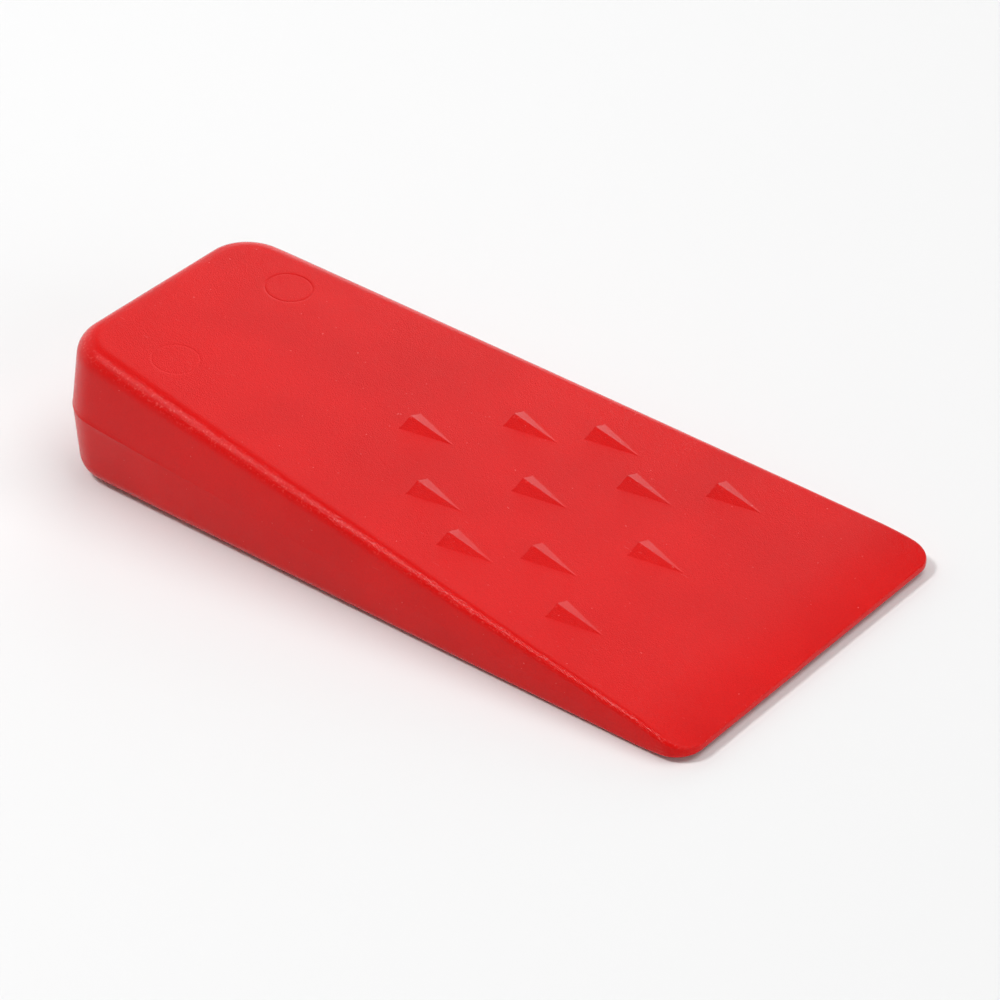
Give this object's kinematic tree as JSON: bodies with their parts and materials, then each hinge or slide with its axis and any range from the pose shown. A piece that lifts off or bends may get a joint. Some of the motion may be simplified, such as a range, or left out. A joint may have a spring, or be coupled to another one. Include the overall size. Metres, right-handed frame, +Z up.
{
  "type": "felling wedge",
  "caption": "Solid moulded plastic felling wedge that flares from a thick striking end to a wide thin edge, with small anti-kickback spurs on its upper face.",
  "frame": {"origin": "centre of the wedge's bounding box in plan, on the surface it lies on", "axes": "+X along the wedge from the thick striking end to the thin edge, +Z up out of the spurred upper face, the plain lower face level on z = 0"},
  "size_m": [0.1394, 0.0698, 0.0268],
  "materials": {
    "red_plastic": "matte, finely stippled moulded skin"
  },
  "bodies": {
    "root": {"wedge_body": "red_plastic"}
  },
  "joints": []
}
